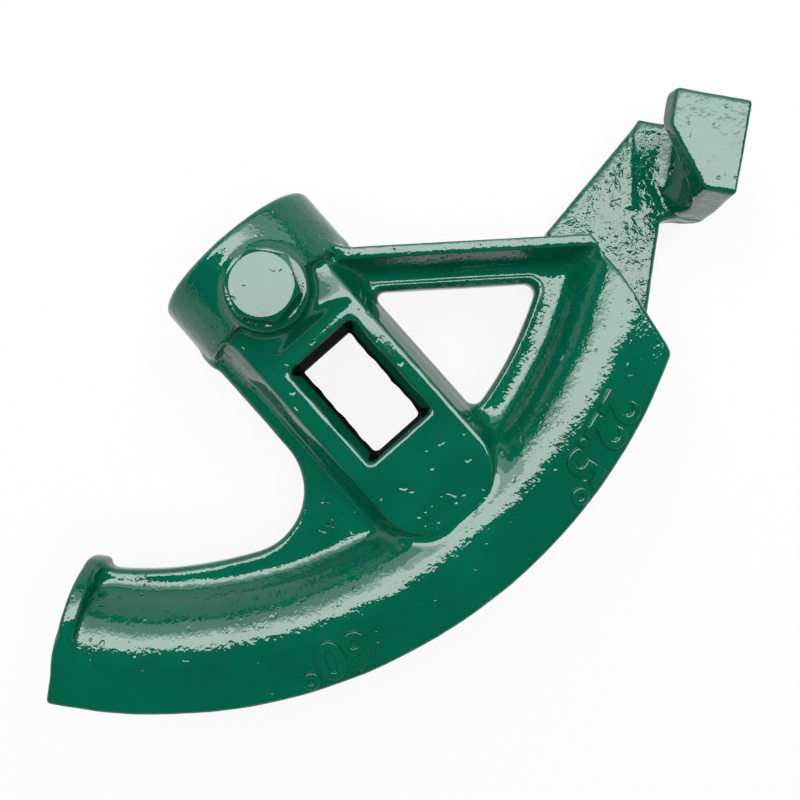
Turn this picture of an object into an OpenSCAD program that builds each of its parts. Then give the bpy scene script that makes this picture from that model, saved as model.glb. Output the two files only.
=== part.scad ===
// Head of a hand tube bender: a one-piece casting with a grooved shoe, a handle socket and a hook,
// and the bolt that clamps the handle in its socket.
// The origin is the centre of the socket's mouth. +Y points out of the socket along the handle,
// +X points to the hook, and +Z is across the tube, towards the bolt's head.

/* [Tube and bend] */
// Outside diameter of the tube that is bent
tube_d = 23.4; // [21:0.1:26]
// Gap between the tube and the wall of its groove
groove_gap = 0.3; // [0.1:0.05:0.6]
// Radius of the bend at the tube's centreline
bend_r = 130.6; // [126:0.1:136]
// Distance of the bend's centre from the socket's mouth, on the handle's side
centre_off = 26.8; // [24:0.1:29]
// Angle from the handle's axis back to the heel end
heel_angle = 53.4; // [45:0.1:58]
// Angle from the handle's axis forward to the place where the bend starts
start_angle = 38.2; // [36:0.1:40]

/* [Shoe] */
// Wall of the shoe behind the groove
shoe_wall = 5.4; // [4:0.1:6]
// Reach of the flanks past the tube's centreline
flank_reach = 13.4; // [11:0.1:15]
// Thickness of the flanks at their outer edge
flank_edge_t = 3; // [2:0.1:4]
// Length of the raised collar at the heel end
heel_len = 4.7; // [3:0.1:8]
// Radius of the heel collar's back
heel_r = 18.4; // [18:0.1:19.5]
// Distance of the heel collar's centre inside the tube's centreline
heel_shift = 6.3; // [5:0.1:7.5]
// Distance of the near flank's end from the handle's axis, at its outer edge
flank_end_x = 69.1; // [67:0.1:71]
// Lean of the near flank's end from the handle's direction, in degrees
flank_end_lean = 8; // [4:0.1:12]

/* [Handle socket] */
// Outside diameter of the handle that the socket takes
handle_d = 33.4; // [32:0.1:34.4]
// Gap between the handle and the socket's wall
handle_gap = 0.3; // [0.1:0.05:0.45]
// Depth of the socket
socket_depth = 27; // [25:0.1:29]
// Outside diameter of the socket's collar
collar_d = 50.6; // [46:0.1:51]
// Length of the socket's collar
collar_len = 19.8; // [18:0.1:22]
// Chamfer at the outer edge of the socket's mouth
collar_edge = 2; // [0.5:0.1:3]
// Outside diameter of the neck below the collar
neck_d = 41; // [39:0.1:43]
// Length of the neck below the collar
neck_len = 11; // [10:0.1:13]

/* [Web and column] */
// Thickness of the web in the middle plane
web_t = 7; // [5:0.1:9]
// Distance of the web's free edge from the handle's axis
web_edge_x = 25; // [23:0.1:27]
// Radius of the hollow corner between the web's free edge and the shoe's rim
web_corner_r = 17.5; // [14:0.1:20]
// Height of the web's rim inside the shoe's wall, beside the column
rim_h = 7.6; // [6:0.1:9]
// Height of the web's rim inside the shoe's wall, at the heel
rim_heel_h = 4.6; // [3:0.1:7]
// Thickness of the column across the tube
column_t = 32; // [28:0.1:34]
// Width of the column's flat faces
column_w = 32.6; // [28:0.1:36]
// Width of the column where it meets the web
column_foot_w = 41.6; // [37:0.1:43]
// Distance of the column's lower end from the socket's mouth
column_end = 93.8; // [91:0.1:96]
// Corner radius at the column's lower end
column_corner_r = 11; // [6:0.1:14]

/* [Strut] */
// Distance of the strut's upper end from the handle's axis
strut_top_x = 23.4; // [22:0.1:25]
// Distance of the strut's upper end below the socket's mouth
strut_top_y = 21.6; // [21:0.1:23]
// Distance of the strut's lower end from the handle's axis
strut_end_x = 74.4; // [73:0.1:76]
// Distance of the strut's lower end below the socket's mouth
strut_end_y = 62; // [60:0.1:64]
// Thickness of the strut's rib across the tube
strut_t = 29; // [24:0.1:31]
// Width of the strut's rib at its face
strut_face_w = 3.3; // [2.5:0.1:5]
// Width of the strut's rib where it meets the web
strut_foot_w = 6.6; // [5.5:0.1:8]

/* [Windows] */
// Width of the column's window at the faces
slot_w = 22.1; // [19:0.1:23]
// Width of the column's window in the middle plane
slot_mid_w = 16.9; // [12:0.1:18]
// Distance of the window's middle from the handle's axis, towards the hook
slot_x = 0.6; // [0:0.05:1.5]
// Distance of the window's upper end from the socket's mouth
slot_top = 36.4; // [35:0.1:38]
// Length of the column's window
slot_len = 32.4; // [28:0.1:34]
// Distance of the web window's straight side from the handle's axis
web_hole_x = 20.7; // [20:0.1:24]
// Distance of the web window from the strut's outer face
web_hole_strut = 11.1; // [10:0.1:14]
// Distance of the web window from the shoe's wall
web_hole_shoe = 7.7; // [5:0.1:9]
// Corner radius of the web window
web_hole_r = 4; // [2:0.1:6]

/* [Arm and hook] */
// Thickness of the arm that carries the hook
arm_t = 8; // [6:0.1:9]
// Depth of the arm's inner face below the groove's wall
arm_relief = 0.1; // [0.05:0.05:0.15]
// Distance of the arm's inner edge from the bend's centre, at its root
arm_root_u = 106.6; // [105:0.1:109]
// Distance of the arm's root from the start of the bend
arm_root_t = 7.1; // [5:0.1:9]
// Distance of the arm's outer edge past the tube's centreline, at the hook
arm_edge = 8.5; // [7:0.1:10]
// Distance of the hook's nearer end from the start of the bend
hook_start = 18.7; // [17:0.1:21]
// Length of the hook along the tube
hook_len = 25.5; // [22:0.1:28]
// Clearance of the hook round the tube
hook_gap = 0.8; // [0.5:0.1:1.2]
// Thickness of the hook's outer wall
hook_wall = 8; // [6:0.1:9]
// Thickness of the hook's lip
lip_t = 7; // [5:0.1:8]
// Reach of the lip back over the tube, from the hook's outer face
lip_len = 20; // [17:0.1:22]
// Length of the lip's corner cut, along the tube
lip_cut_len = 13.8; // [10:0.1:16]
// Length of the lip's corner cut, across the tube
lip_cut_w = 10.4; // [8:0.1:13]
// Rounding of the hook's outer corner on the arm's side
hook_corner_r = 9; // [6:0.1:11]

/* [Clamp bolt] */
// Nominal diameter of the bolt's thread
bolt_d = 10; // [8:0.1:11]
// Gap between the bolt and its hole in the casting
bolt_gap = 0.05; // [0.02:0.01:0.09]
// Length of the bolt under its head
bolt_len = 10; // [9.5:0.1:14]
// Gap between the bolt's tip and the socket's wall
tip_gap = 0.1; // [0.05:0.05:0.5]
// Width across the flats of the bolt's head
head_af = 17; // [15:0.1:19]
// Height of the bolt's head
head_h = 6.4; // [5:0.1:8]
// Share of the width across the flats that the head's flat end keeps inside its chamfer
head_flat_share = 0.95; // [0.85:0.01:0.98]
// Angle of the head's chamfer, in degrees
head_chamfer_a = 30; // [20:1:40]
// Chamfer at the bolt's tip
tip_chamfer = 1; // [0.5:0.1:1.5]
// Distance of the bolt's axis from the socket's mouth
bolt_y = 17.7; // [16:0.1:19]
// Diameter of the boss that the bolt screws into
boss_d = 22.4; // [20:0.1:25]
// Height of the boss's face above the handle's axis
boss_top = 25.8; // [25.4:0.1:26.5]
// Turn of the bolt's head about its axis, in degrees
head_turn = 9.3; // [0:0.1:59]

/* [Hidden] */
// Overrun of every cut past the face that it opens
over = 4;
// Depth that one region of the casting runs into the next
seat = 3;
// Facets of a full circle
round_fn = 96;
// Steps along each drawn arc
arc_steps = 12;
groove_r = tube_d / 2 + groove_gap;
shell_r = groove_r + shoe_wall;
edge_r = bend_r + flank_reach;
shell_inner_r = bend_r - shell_r;
socket_r = handle_d / 2 + handle_gap;
hook_hollow_r = tube_d / 2 + hook_gap;
hook_out_u = bend_r + hook_hollow_r + hook_wall;
lip_face = hook_hollow_r + lip_t;
arm_inner_z = -groove_r - arm_relief;
arm_outer_z = arm_inner_z - arm_t;
// The bend's places are angles about its centre, counted from +X
heel_a = -90 - heel_angle;
start_a = -90 + start_angle;
paint = [0.0, 0.40, 0.30];

// Points of an arc about a centre, from one angle to another
function arc(centre, r, from, to) =
    [for (i = [0:arc_steps]) centre + r * [cos(from + (to - from) * i / arc_steps),
                                           sin(from + (to - from) * i / arc_steps)]];
// Points of the web's rim, whose radius grows towards the heel
function rim_points(from, to) =
    [for (i = [0:arc_steps])
        let (share = i / arc_steps,
             r = shell_inner_r - rim_h + (rim_h - rim_heel_h) * share,
             a = from + (to - from) * share)
        bend_centre + r * [cos(a), sin(a)]];

bend_centre = [0, centre_off];
// Centre of the hollow corner, which touches the web's free edge and the shoe's rim
corner_run = shell_inner_r - rim_h - web_corner_r;
corner_x = -web_edge_x - web_corner_r;
corner_centre = [corner_x, centre_off - sqrt(corner_run ^ 2 - corner_x ^ 2)];
corner_a = atan2(corner_centre.y - centre_off, corner_centre.x);
strut_top = [strut_top_x, -strut_top_y];
strut_end = [strut_end_x, -strut_end_y];
strut_run = strut_end - strut_top;
strut_a = atan2(strut_run.y, strut_run.x);
strut_end_a = atan2(strut_end.y - centre_off, strut_end.x);
// Outer corner of the near flank's end, outward from the bend's centre and along the tube
flank_corner_a = -acos(flank_end_x / edge_r) - start_a;
flank_end_u = edge_r * cos(flank_corner_a);
flank_end_t = edge_r * sin(flank_corner_a);

// Places the children at the bend's centre
module at_bend() {
    translate([0, centre_off, 0]) children();
}

// Places the children where the tube runs straight on: x outward from the bend's centre, y along the tube
module at_start() {
    at_bend() rotate([0, 0, start_a]) children();
}

// Half of the shoe's section, turned about the bend's centre and mirrored for the other flank
module shoe_section() {
    intersection() {
        circle(r = shell_r, $fn = round_fn);
        translate([-shell_r, -shell_r]) square([shell_r, 2 * shell_r]);
    }
    polygon([
        [0, -shell_r], [flank_reach, -groove_r - flank_edge_t],
        [flank_reach, groove_r + flank_edge_t], [0, shell_r]
    ]);
}

module shoe() {
    at_bend() rotate_extrude(angle = start_a - heel_a, start = heel_a, $fn = round_fn)
        translate([bend_r, 0]) shoe_section();
}

module heel_collar() {
    at_bend() rotate_extrude(angle = heel_len / bend_r * 180 / PI, start = heel_a, $fn = round_fn)
        translate([bend_r - heel_shift, 0]) circle(r = heel_r, $fn = round_fn);
}

module web() {
    translate([0, 0, -web_t / 2]) linear_extrude(height = web_t) polygon(concat(
        [[-web_edge_x, -collar_len + seat]],
        arc(corner_centre, web_corner_r, 0, corner_a),
        rim_points(corner_a, heel_a + heel_len / bend_r * 90 / PI),
        arc(bend_centre, shell_inner_r + seat, heel_a + heel_len / bend_r * 90 / PI, strut_end_a),
        [strut_end, strut_top, [strut_top_x - seat, -collar_len + seat]]
    ));
}

// Column from the socket to the shoe, widest at the web and rounded at its lower end
module column() {
    intersection() {
        translate([0, -collar_len, 0]) rotate([90, 0, 0])
            linear_extrude(height = column_end - collar_len) polygon([
                [-column_w / 2, -column_t / 2], [column_w / 2, -column_t / 2],
                [column_foot_w / 2, -web_t / 2], [column_foot_w / 2, web_t / 2],
                [column_w / 2, column_t / 2], [-column_w / 2, column_t / 2],
                [-column_foot_w / 2, web_t / 2], [-column_foot_w / 2, -web_t / 2]
            ]);
        translate([0, 0, -column_t]) linear_extrude(height = 2 * column_t) polygon(concat(
            [[column_foot_w, 0], [-column_foot_w, 0]],
            [[-column_foot_w, -column_end + column_corner_r]],
            arc([-column_w / 2 + column_corner_r, -column_end + column_corner_r],
                column_corner_r, -180, -90),
            arc([column_w / 2 - column_corner_r, -column_end + column_corner_r],
                column_corner_r, -90, 0),
            [[column_foot_w, -column_end + column_corner_r]]
        ));
    }
}

// Rib along the strut, tapered from the web to its faces
module strut_rib() {
    translate([strut_top_x, -strut_top_y, 0]) rotate([0, 0, strut_a])
        translate([-seat, 0, 0]) rotate([90, 0, 90])
            linear_extrude(height = norm(strut_run) + seat + shoe_wall) polygon([
                [0, -strut_t / 2], [0, strut_t / 2],
                [-strut_face_w, strut_t / 2], [-strut_foot_w, web_t / 2],
                [-strut_foot_w, -web_t / 2], [-strut_face_w, -strut_t / 2]
            ]);
}

module socket_body() {
    rotate([90, 0, 0]) rotate_extrude($fn = round_fn) polygon([
        [0, 0], [collar_d / 2 - collar_edge, 0], [collar_d / 2, collar_edge],
        [collar_d / 2, collar_len], [neck_d / 2, collar_len],
        [neck_d / 2, collar_len + neck_len], [0, collar_len + neck_len]
    ]);
    translate([0, -bolt_y, 0]) cylinder(h = boss_top, d = boss_d, $fn = round_fn);
}

// Flat arm on the far side of the tube, drawn in the hook's own directions
module arm() {
    at_start() translate([0, 0, arm_outer_z]) linear_extrude(height = arm_t) polygon([
        [shell_inner_r - seat, -seat],
        [arm_root_u, arm_root_t],
        [bend_r - seat, hook_start + hook_len],
        [bend_r + hook_hollow_r, hook_start + hook_len],
        [bend_r + hook_hollow_r, hook_start],
        [bend_r + arm_edge, hook_start - seat],
        [flank_end_u - flank_edge_t / 2, flank_end_t],
        [shell_inner_r, flank_end_t]
    ]);
}

// Hook that closes round the tube, with the lip's corner cut away for the slanted entry
module hook() {
    at_start() translate([0, hook_start, 0]) difference() {
        rotate([-90, 0, 0]) linear_extrude(height = hook_len) difference() {
            polygon(concat(
                [[bend_r - seat, -arm_outer_z]],
                [[bend_r - seat, -lip_face]],
                [[hook_out_u, -lip_face]],
                arc([hook_out_u - hook_corner_r, -arm_outer_z - hook_corner_r],
                    hook_corner_r, 0, 90)
            ));
            translate([bend_r, 0]) circle(r = hook_hollow_r, $fn = round_fn);
            translate([bend_r - hook_hollow_r, -hook_hollow_r])
                square([hook_hollow_r, hook_hollow_r - arm_inner_z]);
        }
        translate([0, 0, arm_inner_z]) linear_extrude(height = lip_face - arm_inner_z + over)
            polygon([
                [bend_r - seat - over, -over], [bend_r - seat - over, hook_len + over],
                [hook_out_u - lip_len, hook_len + over], [hook_out_u - lip_len, lip_cut_len],
                [hook_out_u - lip_len + lip_cut_w, 0], [hook_out_u - lip_len + lip_cut_w, -over]
            ]);
    }
}

module groove_cut() {
    at_bend() rotate_extrude($fn = round_fn) translate([bend_r, 0]) {
        circle(r = groove_r, $fn = round_fn);
        translate([0, -groove_r]) square([flank_reach + over, 2 * groove_r]);
    }
}

// Ends the shoe at a plane, past which only the arm carries on
module flank_end_cut() {
    translate([flank_end_x, centre_off - sqrt(edge_r ^ 2 - flank_end_x ^ 2), -shell_r - over])
        rotate([0, 0, -flank_end_lean]) translate([0, -edge_r / 2, 0])
            cube([edge_r, edge_r, 2 * (shell_r + over)]);
}

module column_window() {
    translate([slot_x, -slot_top, 0]) rotate([90, 0, 0]) linear_extrude(height = slot_len)
        polygon([
            [-slot_w / 2, -column_t / 2 - over], [slot_w / 2, -column_t / 2 - over],
            [slot_w / 2, -column_t / 2], [slot_mid_w / 2, 0], [slot_w / 2, column_t / 2],
            [slot_w / 2, column_t / 2 + over], [-slot_w / 2, column_t / 2 + over],
            [-slot_w / 2, column_t / 2], [-slot_mid_w / 2, 0], [-slot_w / 2, -column_t / 2]
        ]);
}

// Three-cornered opening in the web, between the column, the strut and the shoe
module web_window() {
    translate([0, 0, -web_t / 2 - over]) linear_extrude(height = web_t + 2 * over)
        offset(r = web_hole_r, $fn = round_fn) offset(delta = -web_hole_r) intersection() {
            translate(bend_centre) circle(r = shell_inner_r - web_hole_shoe, $fn = 2 * round_fn);
            translate([web_hole_x, -bend_r]) square([bend_r, bend_r]);
            translate(strut_top) rotate(strut_a) translate([-bend_r, -web_hole_strut - bend_r])
                square([2 * bend_r, bend_r]);
        }
}

module socket_bore() {
    translate([0, over, 0]) rotate([90, 0, 0])
        cylinder(h = socket_depth + over, r = socket_r, $fn = round_fn);
}

module bolt_hole() {
    translate([0, -bolt_y, 0]) cylinder(h = boss_top + over, d = bolt_d, $fn = round_fn);
}

module bender_head() {
    color(paint) union() {
        difference() {
            union() {
                difference() {
                    union() {
                        shoe();
                        heel_collar();
                        web();
                        column();
                        strut_rib();
                    }
                    groove_cut();
                    column_window();
                    web_window();
                    flank_end_cut();
                }
                arm();
                socket_body();
            }
            socket_bore();
            bolt_hole();
        }
        hook();
    }
}

module clamp_bolt() {
    shank_d = bolt_d - 2 * bolt_gap;
    head_r = head_af / 2 / cos(180 / 6);
    flat_r = head_af / 2 * head_flat_share;
    color(paint) translate([0, -bolt_y, socket_r + tip_gap]) {
        rotate_extrude($fn = round_fn) polygon([
            [0, 0], [shank_d / 2 - tip_chamfer, 0], [shank_d / 2, tip_chamfer],
            [shank_d / 2, bolt_len + head_h / 2], [0, bolt_len + head_h / 2]
        ]);
        intersection() {
            translate([0, 0, bolt_len]) rotate([0, 0, head_turn])
                cylinder(h = head_h, r = head_r, $fn = 6);
            rotate_extrude($fn = round_fn) polygon([
                [0, bolt_len], [head_r + over, bolt_len],
                [head_r + over, bolt_len + head_h - (head_r + over - flat_r) * tan(head_chamfer_a)],
                [flat_r, bolt_len + head_h], [0, bolt_len + head_h]
            ]);
        }
    }
}

bender_head();
clamp_bolt();
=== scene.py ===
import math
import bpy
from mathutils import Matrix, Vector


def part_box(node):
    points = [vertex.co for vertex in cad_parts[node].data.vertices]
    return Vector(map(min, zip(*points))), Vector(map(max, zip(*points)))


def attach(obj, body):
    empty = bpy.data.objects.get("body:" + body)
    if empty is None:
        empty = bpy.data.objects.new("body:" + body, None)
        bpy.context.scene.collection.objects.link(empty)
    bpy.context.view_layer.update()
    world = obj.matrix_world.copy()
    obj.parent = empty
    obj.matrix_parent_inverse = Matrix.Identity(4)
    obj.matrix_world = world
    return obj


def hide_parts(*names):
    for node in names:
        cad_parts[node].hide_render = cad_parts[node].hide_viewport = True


bl_info = {
    "name": "Hand tube bender head",
    "version": (1, 0, 0),
    "blender": (4, 5, 0),
    "location": "View3D > Sidebar > Tube bender",
    "description": "Builds the enamelled casting, bolt and numbers of a hand tube bender head on its frame",
    "category": "Object",
}

from types import SimpleNamespace

import bpy
import numpy as np
import openvdb
from mathutils import Matrix, Vector

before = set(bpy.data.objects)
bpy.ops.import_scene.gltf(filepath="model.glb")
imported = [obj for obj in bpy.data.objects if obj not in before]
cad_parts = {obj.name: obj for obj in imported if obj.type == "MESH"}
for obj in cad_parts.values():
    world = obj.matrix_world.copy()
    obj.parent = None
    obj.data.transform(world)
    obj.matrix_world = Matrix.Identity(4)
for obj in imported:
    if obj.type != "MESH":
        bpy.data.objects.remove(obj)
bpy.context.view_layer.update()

# Everything below is worked out in millimetres and put into the meshes in metres
MM = 0.001
# Points along each arc of an outline, and steps round the bolt
ARC_STEPS = 24
BOLT_STEPS = 240
MOST_TRIANGLES = 190000
# Area in square millimetres from which a triangle counts as part of a flat face
FLAT_AREA = 0.7
# Steps of the sample block that lie outside the casting on each side
MARGIN = 4
# Depth at which the cast surface lies inside the CAD shape, so that its unevenness doesn't pass the CAD box
SURFACE_INSET = 0.12
# Length by which a region runs on inside the next one
OVERLAP = 3
# Seeds of the slow and of the fine unevenness
WAVE_SEED, RIPPLE_SEED = 7, 19

# Roundings of the casting's edges in millimetres
EDGE = SimpleNamespace(
    flank=1.4, flank_end=1.3, shoe_end=1.0, heel=1.6, groove=1.8, web=2.4, web_window=3.6, web_window_rim=2.2,
    column=1.0, slot=1.8, slot_rim=1.0, strut=1.0, strut_face=0.6, collar=1.6, neck=3.0, bore=2.0, boss=1.3,
    bolt_hole=0.8, arm=2.2, hook=1.4, lip_face=0.9, lip=1.2, ridge=1.0)
# Fillets between the casting's regions in millimetres
FILLET = SimpleNamespace(
    heel=1.6, column=4.2, strut=3.4, bead=0.8, web=4.0, arm=2.6, neck=2.4, socket=3.4, boss=2.6, hook=1.4,
    ridge=0.7)

# Sizes of the casting in millimetres, from the CAD part
CASTING_SIZES = (
    ("bend_radius", "Radius of the bend at the tube's centreline", 130.6),
    ("bend_centre", "Distance of the bend's centre above the socket's mouth", 26.8),
    ("groove_radius", "Radius of the groove", 12.0),
    ("shell_radius", "Radius of the shoe's wall, outside the groove", 17.4),
    ("flank_reach", "Reach of the flanks past the tube's centreline", 13.4),
    ("flank_edge", "Height of the flanks' outer edge above the middle plane", 15.0),
    ("heel_radius", "Radius of the heel collar's back", 18.4),
    ("heel_shift", "Distance of the heel collar's centre inside the tube's centreline", 6.3),
    ("heel_length", "Length of the heel collar", 4.7),
    ("flank_end_x", "Distance of the near flank's end from the handle's axis", 69.1),
    ("collar_radius", "Radius of the socket's collar", 25.3),
    ("collar_length", "Length of the socket's collar", 19.8),
    ("collar_edge", "Rounding of the socket's mouth", 2.2),
    ("neck_radius", "Radius of the neck below the collar", 20.5),
    ("neck_end", "Distance of the neck's lower end from the socket's mouth", 30.8),
    ("bore_radius", "Radius of the socket's bore", 17.0),
    ("bore_depth", "Depth of the socket's bore", 27.0),
    ("boss_radius", "Radius of the bolt's boss", 11.2),
    ("boss_top", "Height of the boss's face", 25.8),
    ("bolt_offset", "Distance of the bolt's axis from the socket's mouth", 17.7),
    ("hole_radius", "Radius of the bolt's hole", 5.1),
    ("web_half", "Half of the web's thickness", 3.5),
    ("web_edge", "Distance of the web's free edge from the handle's axis", 25.0),
    ("web_corner", "Radius of the web's hollow corner", 17.5),
    ("rim_height", "Height of the web's rim inside the shoe beside the column", 7.6),
    ("rim_heel", "Height of the web's rim inside the shoe at the heel", 4.6),
    ("column_half", "Height of the column's faces above the middle plane", 16.0),
    ("column_face", "Half of the column's width at its faces", 16.3),
    ("column_foot", "Half of the column's width at the web", 20.8),
    ("column_end", "Distance of the column's lower end from the socket's mouth", 93.8),
    ("column_corner", "Corner radius of the column's lower end", 11.0),
    ("slot_x", "Distance of the column window's middle from the handle's axis", 0.6),
    ("slot_face", "Half of the column window's width at the faces", 11.05),
    ("slot_middle", "Half of the column window's width in the middle plane", 8.45),
    ("slot_top", "Distance of the column window's upper end from the mouth", 36.4),
    ("slot_bottom", "Distance of the column window's lower end from the mouth", 68.8),
    ("slot_draft", "Draft of the column window's ends", 1.3),
    ("hole_x", "Distance of the web window's straight side from the handle's axis", 20.7),
    ("hole_strut", "Distance of the web window from the strut's outer face", 11.1),
    ("hole_shoe", "Distance of the web window from the shoe's wall", 7.7),
    ("strut_top_x", "Distance of the strut's upper end from the handle's axis", 23.4),
    ("strut_top_y", "Distance of the strut's upper end from the mouth", 21.6),
    ("strut_end_x", "Distance of the strut's lower end from the handle's axis", 74.4),
    ("strut_end_y", "Distance of the strut's lower end from the mouth", 62.0),
    ("strut_half", "Height of the strut's faces above the middle plane", 14.5),
    ("strut_face", "Width of the strut's rib at its faces", 3.3),
    ("strut_foot", "Width of the strut's rib at the web", 6.6),
    ("arm_inner", "Depth of the arm's inner face below the middle plane", 12.1),
    ("arm_outer", "Depth of the arm's outer face below the middle plane", 20.1),
    ("hook_start", "Distance of the hook from the start of the bend", 18.7),
    ("hook_end", "Distance of the hook's far end from the start of the bend", 44.2),
    ("hook_hollow", "Radius of the hook's hollow", 12.5),
    ("hook_wall", "Distance of the hook's outer face from the tube's centreline", 20.5),
    ("hook_corner", "Rounding of the hook's outer corner", 9.0),
    ("lip_top", "Height of the lip's face above the middle plane", 19.5),
    ("lip_reach", "Distance of the lip's end past the tube's centreline", 0.3),
)
CAST_SURFACE = (
    ("grain", "Distance between the points at which the casting is worked out", 0.55),
    ("wave_height", "Height of the slow unevenness of the cast surface", 0.10),
    ("wave_length", "Length of the slow unevenness of the cast surface", 9.0),
    ("ripple_height", "Height of the fine unevenness of the cast surface", 0.035),
    ("ripple_length", "Length of the fine unevenness of the cast surface", 2.6),
    ("bead_radius", "Radius of the bead round the web's window", 0.9),
    ("sag_height", "Height of the paint's sags on the column window's walls", 0.24),
    ("flash_height", "Height of the wavy flash inside the column's window", 0.5),
)
BOLT_SIZES = (
    ("head_flats", "Width across the flats of the bolt's head", 17.0),
    ("head_bottom", "Height of the head's underside", 27.1),
    ("head_top", "Height of the head's face", 33.5),
    ("head_flat", "Radius of the head's flat face inside its chamfer", 8.05),
    ("axis_offset", "Distance of the bolt's axis from the socket's mouth", 17.7),
    ("thread_radius", "Radius of the thread's crests", 4.94),
    ("thread_depth", "Depth of the thread", 0.86),
    ("thread_pitch", "Travel of the thread in one turn", 1.5),
    ("tip_height", "Height of the bolt's tip", 17.1),
)
NUMBER_SIZES = (
    ("digit_size", "Height of a line of the numbers", 14.2),
    ("relief", "Height of the numbers' sides above the flank", 0.4),
    ("rounding", "Rounding of the numbers' edges", 0.42),
    ("sink", "Depth of the numbers' foot inside the flank", 0.6),
    ("line_radius", "Distance of the numbers' foot line from the bend's centre", 132.2),
)
STAGE_SIZES = (
    ("floor_height", "Height of the floor", -25.4),
    ("floor_radius", "Radius of the floor up to its wall", 3000.0),
    ("wall_height", "Height of the wall round the floor", 900.0),
    ("camera_distance", "Distance of the camera from the middle plane", 279.83),
    ("camera_right", "Aim of the camera, to the right in the picture", 45.83),
    ("camera_up", "Aim of the camera, up in the picture", -40.99),
)


def length(key, text, value):
    """A length property that is named after its key, with a default given in millimetres."""
    return bpy.props.FloatProperty(
        name=key.replace("_", " ").capitalize(), description=text, default=value * MM,
        subtype="DISTANCE", unit="LENGTH", precision=5)


def angle(name, text, degrees):
    """An angle property with a default given in degrees."""
    return bpy.props.FloatProperty(
        name=name, description=text, default=math.radians(degrees), subtype="ANGLE", unit="ROTATION")


def colour(name, text, value):
    """A linear colour property."""
    return bpy.props.FloatVectorProperty(
        name=name, description=text, default=value, subtype="COLOR", size=3, min=0.0, max=1.0)


def share(name, text, value):
    """A plain number property from nought to one."""
    return bpy.props.FloatProperty(name=name, description=text, default=value, min=0.0, max=1.0)


def millimetres(group):
    """Every length of a property group in millimetres, and its other values as they are."""
    values = {}
    for key in group.__annotations__:
        value = getattr(group, key)
        unit = getattr(group.bl_rna.properties[key], "unit", "NONE")
        values[key] = value / MM if unit == "LENGTH" else value
    return SimpleNamespace(**values)


class TubeBenderCasting(bpy.types.PropertyGroup):
    """Sizes of the casting and of its cast surface"""

    __annotations__ = {key: length(key, text, value) for key, text, value in CASTING_SIZES + CAST_SURFACE}
    __annotations__["heel_angle"] = angle(
        "Heel angle", "Direction of the heel's end from the bend's centre", -143.4)
    __annotations__["start_angle"] = angle(
        "Start angle", "Direction of the bend's start from its centre", -51.8)
    __annotations__["flank_lean"] = angle("Flank lean", "Lean of the near flank's end", 8.0)


class TubeBenderBolt(bpy.types.PropertyGroup):
    """Sizes of the clamp bolt"""

    __annotations__ = {key: length(key, text, value) for key, text, value in BOLT_SIZES}
    __annotations__["head_turn"] = angle("Head turn", "Direction of one of the head's corners", 9.3)


class TubeBenderNumbers(bpy.types.PropertyGroup):
    """Sizes of the raised degree numbers on the near flank"""

    __annotations__ = {key: length(key, text, value) for key, text, value in NUMBER_SIZES}


class TubeBenderEnamel(bpy.types.PropertyGroup):
    """Colours and gloss of the enamel"""

    colour: colour("Enamel", "Colour of the enamel", (0.0, 0.128, 0.070))
    deep: colour("Deep enamel", "Colour where the enamel lies thick", (0.0, 0.098, 0.052))
    speck: colour("Speck", "Colour of dust and pinholes in the enamel", (0.004, 0.030, 0.022))
    # Window wall: painted shade, a near-black colour for the column window's walls where shade falls in the
    # recess, under a thinned dull coat
    wall: colour("Window wall", "Colour of the dull paint on the column window's walls", (0.0, 0.003, 0.002))
    roughness: share("Roughness", "Roughness under the gloss", 0.32)
    gloss_roughness: share("Gloss roughness", "Roughness of the gloss coat", 0.06)


class TubeBenderStage(bpy.types.PropertyGroup):
    """Floor, lights and camera"""

    __annotations__ = {key: length(key, text, value) for key, text, value in STAGE_SIZES}
    __annotations__["picture_turn"] = angle(
        "Picture turn", "Turn of the picture in the part's plane", -41.594)
    __annotations__["tilt_x"] = angle(
        "Tilt about X", "Tilt of the camera about the picture's level", -0.9274)
    __annotations__["tilt_y"] = angle(
        "Tilt about Y", "Tilt of the camera about the picture's upright", 0.1918)
    __annotations__["paper"] = colour("Paper", "Colour of the floor", (0.86, 0.86, 0.86))


def smooth_min(a, b, k):
    """The lesser of two distances, rounded off over a width of k where they are nearly equal."""
    h = np.maximum(k - np.abs(a - b), 0.0) / k
    return np.minimum(a, b) - h * h * (k / 4)


def smooth_max(a, b, k):
    """The greater of two distances, rounded off over a width of k where they are nearly equal."""
    return -smooth_min(-a, -b, k)


def round_max(a, b, radius):
    """The greater of two distances, with their common corner rounded to a radius."""
    corner = np.hypot(np.maximum(a + radius, 0.0), np.maximum(b + radius, 0.0)) - radius
    return np.where(np.minimum(a, b) > -radius, corner, np.maximum(a, b))


def arc_points(centre, radius, start, end):
    """Points of an arc about a centre, whose radius may go from one value to another."""
    a = np.linspace(start, end, ARC_STEPS)
    r = np.linspace(*radius, ARC_STEPS) if np.ndim(radius) else radius
    return np.stack([centre[0] + r * np.cos(a), centre[1] + r * np.sin(a)], 1)


def outline_distance(px, py, points):
    """Signed distance of points to a closed outline: the least distance to any edge, negative inside."""
    shape = np.broadcast(px, py).shape
    best = np.full(shape, np.inf, np.float32)
    inside = np.zeros(shape, bool)
    points = np.asarray(points, np.float32)
    for (ax, ay), (bx, by) in zip(points, np.roll(points, -1, axis=0)):
        ex, ey = bx - ax, by - ay
        if math.hypot(ex, ey) < 0.001:
            continue
        wx, wy = px - ax, py - ay
        along = np.clip((wx * ex + wy * ey) / (ex * ex + ey * ey), 0.0, 1.0)
        best = np.minimum(best, (wx - ex * along) ** 2 + (wy - ey * along) ** 2)
        if ey:
            inside ^= ((ay > py) != (by > py)) & (wx < wy * (ex / ey))
    best = np.sqrt(best)
    return np.where(inside, -best, best)


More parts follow.
